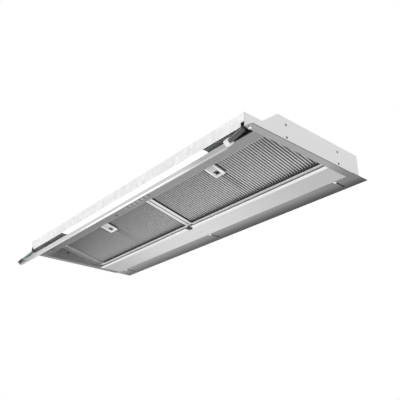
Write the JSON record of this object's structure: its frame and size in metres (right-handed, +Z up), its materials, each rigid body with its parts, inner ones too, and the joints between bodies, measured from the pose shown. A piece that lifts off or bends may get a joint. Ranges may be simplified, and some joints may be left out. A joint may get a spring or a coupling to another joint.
{
  "type": "under cabinet range hood",
  "caption": "Slim hood built into a wall cabinet, with a fold-down glass visor over the lamp and buttons, grease filters, and a blower with a round duct spigot.",
  "frame": {"origin": "centre of the underside, level with the bottom of the cabinet that holds the hood", "axes": "+X along the width, to the right as seen from the room; +Y to the wall behind; +Z up"},
  "size_m": [0.898, 0.3833, 0.2328],
  "materials": {
    "stainless_steel": "brushed",
    "polished_steel": "polished",
    "galvanised_sheet": "zinc coated",
    "black_plastic": "fine moulded texture",
    "light_opal": "opal",
    "visor_glass": "clear tempered",
    "rail_aluminium": "bright anodised",
    "end_cap_light": "moulded",
    "end_cap_dark": "moulded",
    "arm_steel": "dark satin paint",
    "filter_aluminium": "mill finish, embossed",
    "lamp_aluminium": "satin",
    "grey_plastic": "light grey moulded",
    "button_plastic": "metallic grey moulded",
    "latch_plastic": "dark moulded",
    "sensor_window": "smoked",
    "circuit_board": "solder mask",
    "motor_can": "dark grey",
    "fan_plastic": "glass filled",
    "bush_rubber": "soft rubber",
    "capacitor_case": "smooth"
  },
  "bodies": {
    "housing": {"box_screws": "polished_steel", "cable_gland": "black_plastic", "capacitor": "capacitor_case", "centre_bar": "lamp_aluminium", "centre_clip": "black_plastic", "control_board": "circuit_board", "control_box": "black_plastic", "control_shelf": "stainless_steel", "corner_screws": "polished_steel", "damper_pin": "polished_steel", "duct_collar": "black_plastic", "filler_screws": "polished_steel", "filter_ledge": "polished_steel", "front_channel": "galvanised_sheet", "hinge_brackets": "black_plastic", "inlet_ring": "galvanised_sheet", "lamp_diffuser": "light_opal", "lamp_housing": "lamp_aluminium", "led_board": "circuit_board", "motor": "motor_can", "motor_box": "galvanised_sheet", "motor_mounts": "bush_rubber", "motor_plate": "galvanised_sheet", "pocket_liner": "black_plastic", "rear_panel": "stainless_steel", "rear_wall": "galvanised_sheet", "sensor_lens": "sensor_window", "side_panel_left": "stainless_steel", "side_panel_right": "stainless_steel", "terminal_box": "black_plastic", "top_deck": "galvanised_sheet", "volute": "galvanised_sheet"},
    "filler_strip": {"filler_strip": "stainless_steel"},
    "visor": {"visor_glass": "visor_glass", "visor_rail": "rail_aluminium", "visor_end_left": "end_cap_dark", "visor_end_right": "end_cap_light", "visor_arm_left": "arm_steel", "visor_arm_right": "arm_steel", "visor_boss_left": "black_plastic", "visor_boss_right": "black_plastic", "visor_pins": "polished_steel"},
    "impeller": {"impeller": "fan_plastic"},
    "damper_front": {"damper_flap_front": "grey_plastic"},
    "damper_rear": {"damper_flap_rear": "grey_plastic"},
    "filter_left": {"filter_frame_left": "filter_aluminium", "filter_baffle_left": "filter_aluminium", "filter_handle_left": "grey_plastic"},
    "latch_left": {"filter_latch_left": "latch_plastic"},
    "filter_right": {"filter_frame_right": "filter_aluminium", "filter_baffle_right": "filter_aluminium", "filter_handle_right": "grey_plastic"},
    "latch_right": {"filter_latch_right": "latch_plastic"},
    "button_1": {"button_1": "button_plastic"},
    "button_2": {"button_2": "button_plastic"},
    "button_3": {"button_3": "button_plastic"},
    "button_4": {"button_4": "button_plastic"},
    "button_5": {"button_5": "button_plastic"},
    "button_6": {"button_6": "button_plastic"}
  },
  "joints": [
    {"name": "visor_hinge", "type": "hinge", "parent": "housing", "child": "visor", "pos_m": [0, -0.1665, 0.0055], "axis": [1, 0, 0], "range_deg": [0, 129]},
    {"name": "filler_slide", "type": "slide", "parent": "housing", "child": "filler_strip", "axis": [0, -1, 0], "range_m": [0, 0.028]},
    {"name": "filter_left_swing", "type": "hinge", "parent": "housing", "child": "filter_left", "pos_m": [-0.21575, 0.06263, 0.01057], "axis": [1, 0, 0], "range_deg": [0, 33]},
    {"name": "latch_left_slide", "type": "slide", "parent": "filter_left", "child": "latch_left", "axis": [0, 0.974, -0.2265], "range_m": [0, 0.006], "stiffness_N_per_m": 300, "springref_m": -0.004},
    {"name": "filter_right_swing", "type": "hinge", "parent": "housing", "child": "filter_right", "pos_m": [0.21575, 0.06263, 0.01057], "axis": [1, 0, 0], "range_deg": [0, 33]},
    {"name": "latch_right_slide", "type": "slide", "parent": "filter_right", "child": "latch_right", "axis": [0, 0.974, -0.2265], "range_m": [0, 0.006], "stiffness_N_per_m": 300, "springref_m": -0.004},
    {"name": "button_1_press", "type": "slide", "parent": "housing", "child": "button_1", "axis": [0, 0, 1], "range_m": [0, 0.0018], "stiffness_N_per_m": 400, "springref_m": -0.001},
    {"name": "button_2_press", "type": "slide", "parent": "housing", "child": "button_2", "axis": [0, 0, 1], "range_m": [0, 0.0018], "stiffness_N_per_m": 400, "springref_m": -0.001},
    {"name": "button_3_press", "type": "slide", "parent": "housing", "child": "button_3", "axis": [0, 0, 1], "range_m": [0, 0.0018], "stiffness_N_per_m": 400, "springref_m": -0.001},
    {"name": "button_4_press", "type": "slide", "parent": "housing", "child": "button_4", "axis": [0, 0, 1], "range_m": [0, 0.0018], "stiffness_N_per_m": 400, "springref_m": -0.001},
    {"name": "button_5_press", "type": "slide", "parent": "housing", "child": "button_5", "axis": [0, 0, 1], "range_m": [0, 0.0018], "stiffness_N_per_m": 400, "springref_m": -0.001},
    {"name": "button_6_press", "type": "slide", "parent": "housing", "child": "button_6", "axis": [0, 0, 1], "range_m": [0, 0.0018], "stiffness_N_per_m": 400, "springref_m": -0.001},
    {"name": "impeller_spin", "type": "hinge", "parent": "housing", "child": "impeller", "pos_m": [-0.158, 0.07, 0.102], "axis": [0, 0, 1], "continuous": true},
    {"name": "damper_front_swing", "type": "hinge", "parent": "housing", "child": "damper_front", "pos_m": [0, 0.07, 0.152], "axis": [-1, 0, 0], "range_deg": [0, 75]},
    {"name": "damper_rear_swing", "type": "hinge", "parent": "housing", "child": "damper_rear", "pos_m": [0, 0.07, 0.152], "axis": [1, 0, 0], "range_deg": [0, 75]}
  ]
}
